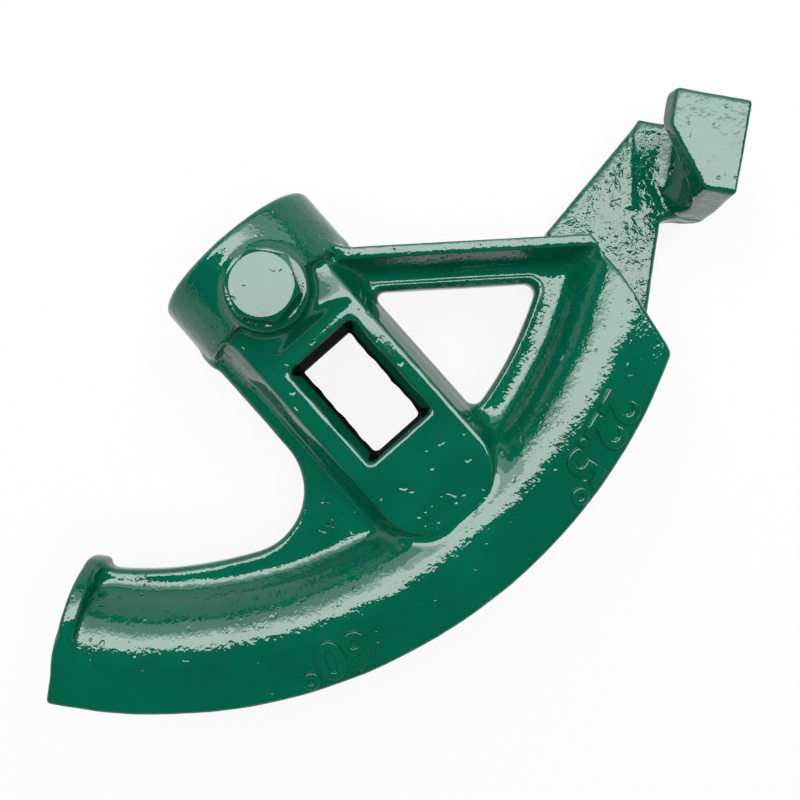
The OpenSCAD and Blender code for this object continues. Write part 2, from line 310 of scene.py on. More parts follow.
def unevenness(shape, step, spacing, seed):
    """Smooth noise from -1 to 1 on a block of points: random values on a coarse lattice, eased between."""
    counts = [int(n * step / spacing) + 3 for n in shape]
    values = np.random.RandomState(seed).uniform(-1.0, 1.0, counts).astype(np.float32)
    for axis, n in enumerate(shape):
        place = np.arange(n) * step / spacing
        low = place.astype(int)
        part = place - low
        part = (part * part * (3 - 2 * part)).astype(np.float32)
        weights = np.zeros((n, counts[axis]), np.float32)
        weights[np.arange(n), low] = 1 - part
        weights[np.arange(n), low + 1] = part
        values = np.moveaxis(np.tensordot(weights, values, axes=(1, axis)), 0, axis)
    return values


class Block:
    """A block of sample points in millimetres, with the distances that several regions share."""

    def __init__(self, s, low, high):
        self.step = s.grain
        self.origin = np.array(low) - MARGIN * s.grain
        counts = np.ceil((np.array(high) - np.array(low)) / s.grain).astype(int) + 2 * MARGIN + 1
        axes = [(self.origin[i] + np.arange(counts[i]) * s.grain).astype(np.float32) for i in range(3)]
        self.x, self.y, self.z = np.ix_(*axes)
        self.shape = tuple(counts)
        self.height = np.abs(self.z)
        rise = self.y - s.bend_centre
        self.turn = np.hypot(self.x, rise)
        self.out = self.turn - s.bend_radius
        c, d = math.cos(s.start_angle), math.sin(s.start_angle)
        self.u = self.x * c + rise * d - s.bend_radius
        self.t = rise * c - self.x * d
        self.past_heel = self.x * math.sin(s.heel_angle) - rise * math.cos(s.heel_angle)
        edge = s.bend_radius + s.flank_reach
        end_y = s.bend_centre - math.sqrt(edge ** 2 - s.flank_end_x ** 2)
        self.past_flank = ((self.x - s.flank_end_x) * math.cos(s.flank_lean)
                           - (self.y - end_y) * math.sin(s.flank_lean))
        run = Vector((s.strut_end_x - s.strut_top_x, s.strut_top_y - s.strut_end_y)).normalized()
        self.strut_out = (self.x - s.strut_top_x) * -run.y + (self.y + s.strut_top_y) * run.x
        self.strut_along = (self.x - s.strut_top_x) * run.x + (self.y + s.strut_top_y) * run.y
        self.socket_out = np.hypot(self.x, self.z)
        self.bolt_out = np.hypot(self.x, self.y + s.bolt_offset)


def shoe_region(s, b):
    """The curved shoe: a round back that turns into two straight flanks, with the raised heel collar."""
    tube = np.hypot(b.out, b.z)
    slope = Vector((s.shell_radius - s.flank_edge, s.flank_reach)).normalized()
    flank = b.out * slope.x + (b.height - s.shell_radius) * slope.y
    shoe = np.where(b.out < 0, tube - s.shell_radius, flank)
    shoe = smooth_max(shoe, b.out - s.flank_reach, EDGE.flank)
    shoe = smooth_max(shoe, b.past_heel, EDGE.shoe_end)
    heel = np.hypot(b.out + s.heel_shift, b.z) - s.heel_radius
    heel = smooth_max(heel, b.past_heel, EDGE.heel)
    heel = smooth_max(heel, -(b.past_heel + s.heel_length), EDGE.heel)
    return smooth_min(shoe, heel, FILLET.heel)


def groove_region(s, b):
    """The tube's groove: round at the back, with parallel sides that open outwards."""
    return np.where(b.out < 0, np.hypot(b.out, b.z), b.height) - s.groove_radius


def web_region(s, b):
    """The flat web in the middle plane, with its hollow corner and the rim that runs to the heel."""
    centre = (0.0, s.bend_centre)
    inner = s.bend_radius - s.shell_radius
    corner_x = -s.web_edge - s.web_corner
    run = inner - s.rim_height - s.web_corner
    corner = (corner_x, s.bend_centre - math.sqrt(run ** 2 - corner_x ** 2))
    corner_angle = math.atan2(corner[1] - s.bend_centre, corner[0])
    heel = s.heel_angle + s.heel_length / s.bend_radius / 2
    strut_end = (s.strut_end_x, -s.strut_end_y)
    outline = np.concatenate([
        [(-s.web_edge, OVERLAP - s.collar_length)],
        arc_points(corner, s.web_corner, 0.0, corner_angle),
        arc_points(centre, (inner - s.rim_height, inner - s.rim_heel), corner_angle, heel),
        arc_points(centre, inner + OVERLAP, heel, math.atan2(strut_end[1] - s.bend_centre, strut_end[0])),
        [strut_end, (s.strut_top_x, -s.strut_top_y), (s.strut_top_x - OVERLAP, OVERLAP - s.collar_length)],
    ])
    return smooth_max(outline_distance(b.x, b.y, outline), b.height - s.web_half, EDGE.web)


def column_region(s, b):
    """The column from the socket to the shoe, widest at the web, with its lower corners rounded."""
    slope = Vector((s.column_half - s.web_half, s.column_foot - s.column_face)).normalized()
    side = (np.abs(b.x) - s.column_foot) * slope.x + (b.height - s.web_half) * slope.y
    wall = round_max(side, -s.column_end - b.y, s.column_corner)
    wall = smooth_max(wall, b.height - s.column_half, EDGE.column)
    return np.maximum(wall, b.y + s.collar_length / 2)


def column_window(s, b):
    """The column's window: its half width falls evenly from the faces to the middle plane, less a wavy flash
    that fades with the square of the height, and less the sags, which are a sine of the height."""
    wave, flash_thickness, sag_start, square_share, end_draft = 0.55, 1.1, 3.0, 0.987, 0.6
    depth = np.minimum(b.height / s.column_half, 1.0)
    place = b.y * wave
    wavy = 0.55 + 0.25 * np.sin(place + 0.8) + 0.2 * np.sin(place * 2.3 + 2.1 + np.sign(b.x))
    flash = s.flash_height * np.exp(-(b.z / flash_thickness) ** 2) * wavy
    bend = 0.7 * np.sin(place * 0.8 + b.x * 0.2)
    sag = np.clip((b.height - sag_start) / sag_start, 0.0, 1.0) * np.sin(b.height * 2.5 + bend)
    half = s.slot_middle + (s.slot_face - s.slot_middle) * depth - flash - s.sag_height * sag
    side = (np.abs(b.x - s.slot_x) - half) * square_share
    draft = s.slot_draft * (1 - depth)
    ends = np.maximum(b.y + s.slot_top + draft * end_draft, -s.slot_bottom + draft - b.y)
    return smooth_max(side, ends, EDGE.slot)


def web_window(s, b):
    """The three-cornered opening in the web, between the column, the strut and the shoe."""
    inner = s.bend_radius - s.shell_radius - s.hole_shoe
    upper = round_max(s.hole_x - b.x, b.strut_out + s.hole_strut, EDGE.web_window)
    return round_max(upper, b.turn - inner, EDGE.web_window)


def strut_region(s, b):
    """The rib along the strut, tapered from the web to its faces, which runs on into the shoe's wall."""
    run_on = 5.4
    taper = (s.strut_foot - s.strut_face) / (s.strut_half - s.web_half)
    inner = -(b.strut_out + s.strut_foot - taper * (b.height - s.web_half)) / math.hypot(1, taper)
    rib = smooth_max(b.strut_out, inner, EDGE.strut)
    rib = smooth_max(rib, b.height - s.strut_half, EDGE.strut_face)
    end = math.hypot(s.strut_end_x - s.strut_top_x, s.strut_end_y - s.strut_top_y) + run_on
    return np.maximum(rib, np.maximum(-OVERLAP - b.strut_along, b.strut_along - end))


def socket_region(s, b):
    """The handle's socket: a collar with a rounded mouth, and a narrower neck that runs into the column."""
    collar = round_max(b.socket_out - s.collar_radius, b.y, s.collar_edge)
    collar = smooth_max(collar, -s.collar_length - b.y, EDGE.collar)
    neck = smooth_max(b.socket_out - s.neck_radius, -s.neck_end - b.y, EDGE.neck)
    return smooth_min(collar, np.maximum(neck, b.y + OVERLAP), FILLET.neck)


def boss_region(s, b):
    """The round boss that the bolt screws into."""
    boss = round_max(b.bolt_out - s.boss_radius, b.z - s.boss_top, EDGE.boss)
    return np.maximum(boss, -b.z)


def arm_region(s, b):
    """The flat arm on the far side: an outline in the hook's own directions, of the arm's thickness."""
    back_corner, neck_u, neck_length, flank_inset = (-24.0, 7.1), 8.5, 3, 1.5
    inner = -s.shell_radius
    edge = s.bend_radius + s.flank_reach
    flank_angle = -math.acos(s.flank_end_x / edge) - s.start_angle
    corner_u = edge * math.cos(flank_angle) - s.bend_radius - flank_inset
    corner_t = edge * math.sin(flank_angle)
    outline = [
        (inner - OVERLAP, -OVERLAP), back_corner, (-OVERLAP, s.hook_end), (s.hook_hollow, s.hook_end),
        (s.hook_hollow, s.hook_start), (neck_u, s.hook_start - neck_length), (corner_u, corner_t),
        (inner, corner_t),
    ]
    flat = outline_distance(b.u, b.t, outline)
    half = (s.arm_outer - s.arm_inner) / 2
    return smooth_max(flat, np.abs(b.z + s.arm_inner + half) - half, EDGE.arm)


def hook_ridge(s, b):
    """The thin ridge where the hook meets the arm: a leaning round bar, swollen by a squared sine."""
    radius, swelling, swellings = 0.55, 0.3, 1.1
    inset, lean, sink = 0.9, 4.8, 0.3
    middle, hook_length, half_length = 0.4, 25.0, 10.0
    along = (b.t - s.hook_start) / (s.hook_end - s.hook_start)
    bar = np.hypot(b.u + inset + lean * along, b.z + s.arm_inner + sink)
    bar = bar - radius - swelling * np.sin(b.t * swellings) ** 2
    return smooth_max(bar, np.abs(along - middle) * hook_length - half_length, EDGE.ridge)


def hook_region(s, b):
    """The hook that closes round the tube, with the corner of its lip cut away and its faces drafted."""
    wall_draft, end_draft, lip_inset, lip_lean = 1.0, 1.3, 1.0, 0.18
    cut_u, cut_t, cut_across, cut_along = 0.5, 13.8, -0.7986, -0.6019
    up = np.clip(b.z / s.lip_top, 0.0, 1.0)
    wall = b.u - (s.hook_wall - wall_draft * up)
    outer = round_max(wall, -s.arm_outer - b.z, s.hook_corner)
    outer = round_max(outer, b.z - s.lip_top, EDGE.lip_face)
    hollow = np.where(b.u < 0, b.height, np.hypot(b.u, b.z)) - s.hook_hollow
    hook = smooth_max(outer, -hollow, EDGE.hook)
    drop = np.clip((s.lip_top - b.z) / (s.lip_top + s.arm_outer), 0.0, 1.0)
    hook = smooth_max(hook, s.hook_start - end_draft * drop - b.t, EDGE.hook)
    hook = smooth_max(hook, b.t - s.hook_end, EDGE.hook)
    hook = np.maximum(hook, -OVERLAP - b.u)
    lip_end = s.lip_reach - lip_inset - lip_lean * (s.lip_top - b.z)
    corner = (b.u - cut_u) * cut_across + (b.t - s.hook_start - cut_t) * cut_along
    lip = smooth_max(lip_end - b.u, corner, EDGE.lip)
    hook = smooth_max(hook, np.minimum(b.z + s.arm_inner, lip), EDGE.hook)
    return smooth_min(hook, hook_ridge(s, b), FILLET.ridge)


def unevenness_share(b):
    """Share of the unevenness, which drops to little on the faces of the column and of the strut's rib, with
    the fourth power of the distance from the middle of each face."""
    calming = 0.85
    column_width, column_middle, column_reach = 20.0, -60.0, 38.0
    rib_width, rib_inset, rib_middle, rib_reach = 5.0, 2.0, 33.0, 38.0
    column = np.exp(-(b.x / column_width) ** 4 - ((b.y - column_middle) / column_reach) ** 4)
    rib = np.exp(-((b.strut_out + rib_inset) / rib_width) ** 4
                 - ((b.strut_along - rib_middle) / rib_reach) ** 4)
    return (1.0 - calming * column) * (1.0 - calming * rib)


def casting_field(s, b):
    """Distance to the casting's surface: its regions joined with cast fillets, less its openings."""
    bead_inset, bead_sink = 1.4, 0.2
    ribs = smooth_min(web_region(s, b), column_region(s, b), FILLET.column)
    ribs = smooth_min(ribs, strut_region(s, b), FILLET.strut)
    window = web_window(s, b)
    bead = np.hypot(window - bead_inset, b.height - s.web_half + bead_sink) - s.bead_radius
    ribs = smooth_min(ribs, bead, FILLET.bead)
    groove = groove_region(s, b)
    body = smooth_max(smooth_min(shoe_region(s, b), ribs, FILLET.web), -groove, EDGE.groove)
    body = smooth_max(body, -column_window(s, b), EDGE.slot_rim)
    body = smooth_max(body, -window, EDGE.web_window_rim)
    body = smooth_max(body, b.past_flank, EDGE.flank_end)
    body = smooth_min(body, arm_region(s, b), FILLET.arm)
    body = np.maximum(body, np.minimum(-groove, -b.past_flank))
    body = smooth_min(body, socket_region(s, b), FILLET.socket)
    body = smooth_min(body, boss_region(s, b), FILLET.boss)
    bore = np.maximum(b.socket_out - s.bore_radius, -s.bore_depth - b.y)
    body = smooth_max(body, -bore, EDGE.bore)
    body = smooth_max(body, -np.maximum(b.bolt_out - s.hole_radius, -b.z), EDGE.bolt_hole)
    body = smooth_min(body, hook_region(s, b), FILLET.hook)
    uneven = unevenness_share(b)
    body += uneven * s.wave_height * unevenness(b.shape, b.step, s.wave_length, WAVE_SEED)
    body += uneven * s.ripple_height * unevenness(b.shape, b.step, s.ripple_length, RIPPLE_SEED)
    return (body + SURFACE_INSET).astype(np.float32)


def sample(field, place):
    """The field's values at places given in steps, linear between its eight nearest points."""
    low = np.floor(place).astype(int)
    low = np.clip(low, 0, np.array(field.shape) - 2)
    part = place - low
    total = 0.0
    for corner in np.ndindex(2, 2, 2):
        weight = np.prod(np.where(corner, part, 1 - part), axis=1)
        total = total + weight * field[tuple((low + corner).T)]
    return total


def slope_of(field, place):
    """The field's slope at places given in steps, from its difference across a part of a step each way."""
    reach = 0.75
    change = [sample(field, place + e) - sample(field, place - e) for e in np.eye(3) * reach]
    return np.stack(change, 1) / (2 * reach)


def put_faces(mesh, points, faces):
    """Fills a mesh with points and with faces that all have the same number of corners."""
    mesh.vertices.add(len(points))
    mesh.vertices.foreach_set("co", np.ascontiguousarray(points, np.float32).ravel())
    mesh.loops.add(faces.size)
    mesh.loops.foreach_set("vertex_index", np.ascontiguousarray(faces, np.int32).ravel())
    mesh.polygons.add(len(faces))
    mesh.polygons.foreach_set("loop_start", np.arange(0, faces.size, faces.shape[1], dtype=np.int32))
    mesh.update(calc_edges=True)
    mesh.validate()


def vertex_points(mesh):
    """A mesh's vertices as an array."""
    points = np.empty(len(mesh.vertices) * 3, np.float32)
    mesh.vertices.foreach_get("co", points)
    return points.reshape(-1, 3)


def add_object(name, mesh):
    """A new object at the origin in the scene, with smooth shading."""
    obj = bpy.data.objects.new(name, mesh)
    bpy.context.scene.collection.objects.link(obj)
    mesh.shade_smooth()
    return obj


def finished_mesh(obj, name):
    """A new mesh with the object's modifiers applied."""
    graph = bpy.context.evaluated_depsgraph_get()
    mesh = bpy.data.meshes.new_from_object(obj.evaluated_get(graph), depsgraph=graph)
    mesh.name = name
    return mesh


def steadied(mesh, points, normals):
    """Normals that keep flat faces flat: beside a large triangle, a point takes that triangle's direction,
    from a sum of the directions by the square of their areas."""
    mesh.calc_loop_triangles()
    corners = np.empty(len(mesh.loop_triangles) * 3, np.int32)
    mesh.loop_triangles.foreach_get("vertices", corners)
    corners = corners.reshape(-1, 3)
    a, b, c = (points[corners[:, i]] for i in range(3))
    across = np.cross(b - a, c - a) / 2
    area = np.linalg.norm(across, axis=1)
    flat, largest = np.zeros_like(normals), np.zeros(len(normals))
    for i in range(3):
        np.add.at(flat, corners[:, i], across * area[:, None] ** 2)
        np.maximum.at(largest, corners[:, i], area)
    flat /= np.maximum(np.linalg.norm(flat, axis=1), 1e-9)[:, None]
    flatness = np.clip((largest - FLAT_AREA) / FLAT_AREA, 0.0, 1.0)[:, None]
    return normals * (1 - flatness) + flat * flatness


def mesh_from_field(name, field, block):
    """The surface where a field is nought: meshed in even quads, thinned, put back on the surface by one step
    along the field's slope, and shaded by that slope."""
    most_shift = 0.4
    grid = openvdb.FloatGrid(float(field.max()))
    grid.copyFromArray(field)
    points, quads = grid.convertToQuads(isovalue=0.0)
    points = np.asarray(points, np.float64)
    quads = np.asarray(quads).astype(np.int64)
    a, b, c = (points[quads[:, i]] for i in range(3))
    if np.einsum("ij,ij->", a, np.cross(b, c)) < 0:
        quads = quads[:, ::-1]
    dense = bpy.data.meshes.new(name + "_dense")
    put_faces(dense, points, quads)
    obj = add_object(name, dense)
    triangles = 2 * len(quads)
    if triangles > MOST_TRIANGLES:
        thin = obj.modifiers.new("thin", "DECIMATE")
        thin.ratio = MOST_TRIANGLES / triangles
        obj.data = finished_mesh(obj, name)
        obj.modifiers.clear()
        bpy.data.meshes.remove(dense)
    mesh = obj.data
    place = vertex_points(mesh).astype(np.float64)
    slope = slope_of(field, place)
    size = np.maximum(np.einsum("ij,ij->i", slope, slope), 1e-3)
    shift = -(sample(field, place) / size)[:, None] * slope
    place += np.clip(shift, -most_shift, most_shift)
    normals = slope_of(field, place)
    normals /= np.maximum(np.linalg.norm(normals, axis=1), 1e-6)[:, None]
    mesh.vertices.foreach_set("co", ((block.origin + place * block.step) * MM).astype(np.float32).ravel())
    mesh.update()
    mesh.shade_smooth()
    mesh.normals_split_custom_set_from_vertices(steadied(mesh, place * block.step, normals).tolist())
    return obj


def ring_faces(rows, steps):
    """Four-cornered faces between neighbouring rows of points, where each row is a closed ring."""
    i, j = np.meshgrid(np.arange(rows - 1), np.arange(steps), indexing="ij")
    k = (j + 1) % steps
    corners = [i * steps + j, (i + 1) * steps + j, (i + 1) * steps + k, i * steps + k]
    return np.stack(corners, 2).reshape(-1, 4).tolist()


def revolve(name, radius, height, centre):
    """A closed surface of revolution: radius and height are tables of rows by angles, and a point closes each
    end."""
    rows, steps = radius.shape
    turn = np.arange(steps) * (2 * math.pi / steps)
    ring = np.stack([centre[0] + radius * np.cos(turn), centre[1] + radius * np.sin(turn), height], 2)
    top = (centre[0], centre[1], float(height[0].mean()))
    bottom = (centre[0], centre[1], float(height[-1].mean()))
    points = np.concatenate([ring.reshape(-1, 3), [top, bottom]])
    top_point, bottom_point, last = rows * steps, rows * steps + 1, (rows - 1) * steps
    pairs = [(a, (a + 1) % steps) for a in range(steps)]
    caps = [(top_point, a, b) for a, b in pairs]
    caps += [(bottom_point, last + b, last + a) for a, b in pairs]
    mesh = bpy.data.meshes.new(name)
    mesh.from_pydata((points * MM).tolist(), [], ring_faces(rows, steps) + caps)
    mesh.validate()
    return add_object(name, mesh)


def bolt_rows(s):
    """Rows of radius and height down the bolt. The flats are the half width over the cosine of the angle from
    their middle, the chamfer is a cone, and the thread is a ridge whose place turns once in each pitch."""
    corner_radius, corner_sharpness, chamfer = 9.72, 12, 30
    soft, edge_drop, run_out, tip_chamfer, tip_inset = 0.35, 0.1, 1.2, 1.0, 0.9
    turn = np.arange(BOLT_STEPS) * (2 * math.pi / BOLT_STEPS)
    level = np.zeros(BOLT_STEPS)
    side = np.mod(turn - s.head_turn, math.pi / 3) - math.pi / 6
    flats = s.head_flats / 2 / np.cos(side)
    flats = -np.logaddexp(-flats * corner_sharpness, -corner_radius * corner_sharpness) / corner_sharpness
    shoulder = s.head_top - np.maximum(flats - s.head_flat, 0.0) * math.tan(math.radians(chamfer))
    rows = []
    for part in (0.05, 0.3, 0.55, 0.8, 0.92, 0.97, 0.99, 1.0):
        rows.append((s.head_flat * part + level, s.head_top + level))
    for part in np.linspace(0.15, 0.9, 6):
        rows.append((s.head_flat + (flats - s.head_flat) * part, s.head_top + (shoulder - s.head_top) * part))
    for part in np.linspace(0.1, 1.0, 6):
        a = part * math.pi / 2
        rows.append((flats - soft * (1 - math.sin(a)), shoulder - edge_drop - soft * (1 - math.cos(a))))
    low = s.head_bottom + soft
    for part in np.linspace(0.1, 0.9, 9):
        rows.append((flats + level, (shoulder - edge_drop - soft) * (1 - part) + low * part))
    for part in np.linspace(0.0, 1.0, 5):
        a = part * math.pi / 2
        rows.append((flats - soft * (1 - math.cos(a)), low - soft * math.sin(a) + level))
    for part in (0.35, 0.7, 1.0):
        rows.append(((flats - soft) * (1 - part) + s.thread_radius * part, s.head_bottom + level))
    for height in np.linspace(s.head_bottom - 0.05, s.tip_height, 120):
        place = np.mod(height / s.thread_pitch + turn / (2 * math.pi), 1.0)
        cut = np.clip(np.abs(2 * place - 1) * 1.6 - 0.3, 0.0, 1.0)
        cut = cut * min(1.0, (s.head_bottom - height) / run_out)
        end = max(0.0, tip_chamfer - (height - s.tip_height)) * tip_inset
        rows.append((s.thread_radius - np.maximum(s.thread_depth * cut, end), height + level))
    rows.append((rows[-1][0] * 0.4, s.tip_height + level))
    radius, height = zip(*rows)
    return np.array(radius), np.array(height)


def raised_number(text, mark_angle, s, c):
    """Points and faces of one raised number: flat text whose foot line becomes an arc about the bend's
    centre, laid on the flank's slope."""
    curve = bpy.data.curves.new("number", "FONT")
    curve.body = text
    curve.size = s.digit_size * MM
    curve.align_x = "CENTER"
    curve.extrude = (s.relief + s.sink) / 2 * MM
    curve.bevel_depth = s.rounding * MM
    curve.bevel_resolution = 3
    holder = bpy.data.objects.new("number", curve)
    bpy.context.scene.collection.objects.link(holder)
    mesh = finished_mesh(holder, "number")
    points = vertex_points(mesh) / MM
    faces = [tuple(p.vertices) for p in mesh.polygons]
    bpy.data.objects.remove(holder)
    bpy.data.meshes.remove(mesh)
    slope = (c.shell_radius - c.flank_edge) / c.flank_reach
    turn = mark_angle - points[:, 0] / s.line_radius
    radius = s.line_radius + points[:, 1]
    height = c.shell_radius - (radius - c.bend_radius) * slope + points[:, 2] + (s.relief - s.sink) / 2
    bent = np.stack([radius * np.cos(turn), c.bend_centre + radius * np.sin(turn), height], 1)
    return bent, faces


def node(tree, kind, inputs=None, **settings):
    """A new shader node with its settings and unlinked input values."""
    made = tree.nodes.new(kind)
    for key, value in settings.items():
        setattr(made, key, value)
    for key, value in (inputs or {}).items():
        made.inputs[key].default_value = value
    return made


def new_material(name):
    """An empty material, its node tree and its output node."""
    material = bpy.data.materials.new(name)
    material.use_nodes = True
    tree = material.node_tree
    tree.nodes.clear()
    return material, tree, node(tree, "ShaderNodeOutputMaterial")


def enamel(name, e, fine_depth, slow_depth):
    """Glossy enamel over cast iron: thick and thin paint, specks, pinholes, cast grain, dents, and on the
    column window's walls a dull coat with painted shade, a near-black colour where shade falls in the recess.
    The two depths are those of the grain and of the slow waves, in metres."""
    material, tree, output = new_material(name)
    link = tree.links.new
    place = node(tree, "ShaderNodeTexCoord").outputs["Object"]
    axes = node(tree, "ShaderNodeSeparateXYZ")
    link(place, axes.inputs[0])

    def noise(scale, detail, roughness):
        made = node(tree, "ShaderNodeTexNoise", {"Scale": scale, "Detail": detail, "Roughness": roughness})
        link(place, made.inputs["Vector"])
        return made.outputs["Fac"]

    def ramp(source, low, high, first, last):
        limits = {"From Min": low, "From Max": high, "To Min": first, "To Max": last}
        made = node(tree, "ShaderNodeMapRange", limits, clamp=True, interpolation_type="SMOOTHSTEP")
        link(source, made.inputs["Value"])
        return made.outputs["Result"]

    def put(value, socket):
        if isinstance(value, bpy.types.NodeSocket):
            link(value, socket)
        else:
            socket.default_value = value

    def combine(operation, a, b=0.0):
        made = node(tree, "ShaderNodeMath", operation=operation)
        link(a, made.inputs[0])
        put(b, made.inputs[1])
        return made.outputs[0]

    def painted(factor, under, over):
        made = node(tree, "ShaderNodeMix", data_type="RGBA")
        link(factor, made.inputs[0])
        put(under, made.inputs[6])
        put((*over, 1.0), made.inputs[7])
        return made.outputs[2]

    def away(axis, middle):
        return combine("ABSOLUTE", combine("SUBTRACT", axes.outputs[axis], middle * MM))

    def near(axis, middle, reach, soft):
        return ramp(away(axis, middle), reach * MM, (reach + soft) * MM, 1.0, 0.0)

    # Paint: deep where it lies thick, with dust, pinholes and painted shade, near black, on the walls of the
    # column's window
    paint = painted(ramp(noise(55, 3, 0.55), 0.35, 0.68, 0.0, 0.75), (*e.colour, 1.0), e.deep)
    cells = node(tree, "ShaderNodeTexVoronoi", {"Scale": 430.0, "Randomness": 1.0})
    link(place, cells.inputs["Vector"])
    few = ramp(noise(110, 1, 0.5), 0.66, 0.70, 0.0, 1.0)
    pinholes = combine("MULTIPLY", ramp(cells.outputs["Distance"], 0.10, 0.22, 1.0, 0.0), few)
    paint = painted(pinholes, paint, e.speck)
    paint = painted(ramp(noise(1500, 1, 0.5), 0.74, 0.80, 0.0, 0.6), paint, e.speck)
    # A box inside the column's window, whose walls get painted shade and lose most of the coat
    slot_x, slot_y, soft = 0.6, -52.6, 0.8
    window = combine("MULTIPLY", near("X", slot_x, 10.9, soft), near("Y", slot_y, 16.5, soft))
    window = combine("MULTIPLY", window, near("Z", 0.0, 14.6, soft))
    # The painted shade reaches up to the faces at the window's ends, and stays deep down on its long sides
    reach = ramp(away("Y", slot_y), 0.0138, 0.0152, 0.0, 0.0085)
    deep = combine("SUBTRACT", combine("ABSOLUTE", axes.outputs["Z"]), reach)
    wall = combine("MULTIPLY", window, ramp(deep, 0.0035, 0.0065, 1.0, 0.0))
    # Painted shade: the window's walls take the near-black window colour
    paint = painted(wall, paint, e.wall)

    # Relief: the arm and broad patches are rough, and the column's faces are calm
    column = combine("MULTIPLY", near("X", 0.0, 19.0, 4.0), near("Y", -60.0, 34.0, 5.0))
    calm = ramp(column, 0.0, 1.0, 1.0, 0.14)
    patches = combine("MULTIPLY", ramp(noise(38, 2, 0.5), 0.42, 0.66, 0.17, 0.6), calm)
    arm_low, arm_high = -0.012, -0.010
    on_arm = ramp(axes.outputs["Z"], arm_low, arm_high, 1.0, 0.0)
    on_arm = combine("MULTIPLY", on_arm, ramp(noise(70, 1, 0.5), 0.35, 0.6, 0.6, 1.7))
    slow = combine("MULTIPLY", ramp(axes.outputs["Z"], arm_low, arm_high, 1.8, 0.6), calm)
    layers = (
        (combine("MULTIPLY", noise(120, 2, 0.5), slow), slow_depth),
        (combine("MULTIPLY", noise(430, 2, 0.55), combine("MAXIMUM", on_arm, patches)), fine_depth),
        (combine("MULTIPLY", noise(1000, 1, 0.5), calm), fine_depth * 0.25),
        (ramp(noise(360, 1, 0.5), 0.67, 0.77, 0.0, 1.0), -0.00011),
        (pinholes, -0.00016),
    )
    relief = None
    for source, depth in layers:
        bump = node(tree, "ShaderNodeBump", {"Strength": 1.0, "Distance": abs(depth)}, invert=depth < 0)
        link(source, bump.inputs["Height"])
        if relief:
            link(relief, bump.inputs["Normal"])
        relief = bump.outputs["Normal"]

    # The coat alone mirrors, so that the paint under it stays deep green
    surface = node(tree, "ShaderNodeBsdfPrincipled", {
        "IOR": 1.01, "Specular IOR Level": 0.5, "Coat Roughness": e.gloss_roughness, "Coat IOR": 1.42})
    link(ramp(wall, 0.0, 1.0, e.roughness, 0.9), surface.inputs["Roughness"])
    link(ramp(window, 0.0, 1.0, 1.0, 0.02), surface.inputs["Coat Weight"])
    link(paint, surface.inputs["Base Color"])
    link(relief, surface.inputs["Normal"])
    link(relief, surface.inputs["Coat Normal"])
    link(surface.outputs[0], output.inputs["Surface"])
    return material


def paper(colour_value):
    """A pale floor that the camera, mirrors and glass see nearly white, and that keeps the shadow."""
    white_share = 0.88
    material, tree, output = new_material("paper_floor")
    link = tree.links.new
    grain = node(tree, "ShaderNodeTexNoise", {"Scale": 300.0, "Detail": 2.0})
    link(node(tree, "ShaderNodeTexCoord").outputs["Object"], grain.inputs["Vector"])
    bump = node(tree, "ShaderNodeBump", {"Strength": 0.2, "Distance": 0.0002})
    link(grain.outputs["Fac"], bump.inputs["Height"])
    diffuse = node(tree, "ShaderNodeBsdfDiffuse", {"Color": (*colour_value, 1.0)})
    link(bump.outputs["Normal"], diffuse.inputs["Normal"])
    white = node(tree, "ShaderNodeEmission", {"Color": (1.0, 1.0, 1.0, 1.0), "Strength": 1.0})
    rays = node(tree, "ShaderNodeLightPath")
    seen = rays.outputs["Is Camera Ray"]
    for name in ("Is Glossy Ray", "Is Transmission Ray"):
        add = node(tree, "ShaderNodeMath", operation="ADD", use_clamp=True)
        link(seen, add.inputs[0])
        link(rays.outputs[name], add.inputs[1])
        seen = add.outputs[0]
    part = node(tree, "ShaderNodeMath", {1: white_share}, operation="MULTIPLY")
    link(seen, part.inputs[0])
    mix = node(tree, "ShaderNodeMixShader")
    link(part.outputs[0], mix.inputs[0])
    link(diffuse.outputs[0], mix.inputs[1])
    link(white.outputs[0], mix.inputs[2])
    link(mix.outputs[0], output.inputs["Surface"])
    return material


def cove(radius, height, level):
    """A round floor whose rim curves up into a low wall: a profile of flat, quarter circle and wall, turned
    about +Z."""
    steps, bend_steps, hub = 96, 12, 0.01
    bend = height / 2
    a = np.linspace(0.0, math.pi / 2, bend_steps)
    out = np.concatenate([[hub, radius * 0.3], radius - bend + bend * np.sin(a), [radius]])
    up = np.concatenate([[0.0, 0.0], bend - bend * np.cos(a), [height]]) + level
    turn = np.arange(steps) * (2 * math.pi / steps)
    heights = np.repeat(up[:, None], steps, 1)
    points = np.stack([np.outer(out, np.cos(turn)), np.outer(out, np.sin(turn)), heights], 2)
    mesh = bpy.data.meshes.new("floor")
    mesh.from_pydata(points.reshape(-1, 3).tolist(), [], ring_faces(len(out), steps) + [tuple(range(steps))])
    return add_object("floor", mesh)


def softbox(name, place, target, across, size, radiance, **rays):
    """A flat rectangular lamp with an even radiance, which faces its target and whose width runs across."""
    lamp = bpy.data.lights.new(name, "AREA")
    lamp.shape = "RECTANGLE"
    lamp.size, lamp.size_y = size
    lamp.energy = 4 * radiance * size[0] * size[1]
    obj = bpy.data.objects.new(name, lamp)
    bpy.context.scene.collection.objects.link(obj)
    obj.location = place
    back = (place - target).normalized()
    obj.rotation_euler = Matrix((across, back.cross(across), back)).transposed().to_euler()
    for key, value in rays.items():
        setattr(obj, key, value)
    return obj


class BuildCasting(bpy.types.Operator):
    """Build the enamelled casting"""

    bl_idname = "tube_bender.casting"
    bl_label = "Casting"

    def execute(self, context):
        s = millimetres(context.scene.tube_bender_casting)
        low, high = (np.array(corner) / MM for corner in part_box("bender_head"))
        block = Block(s, low, high)
        obj = mesh_from_field("casting", casting_field(s, block), block)
        paint = enamel("enamelled_iron_paint", context.scene.tube_bender_enamel, 0.0003, 0.0004)
        obj.data.materials.append(paint)
        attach(obj, "head")
        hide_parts("bender_head")
        return {"FINISHED"}


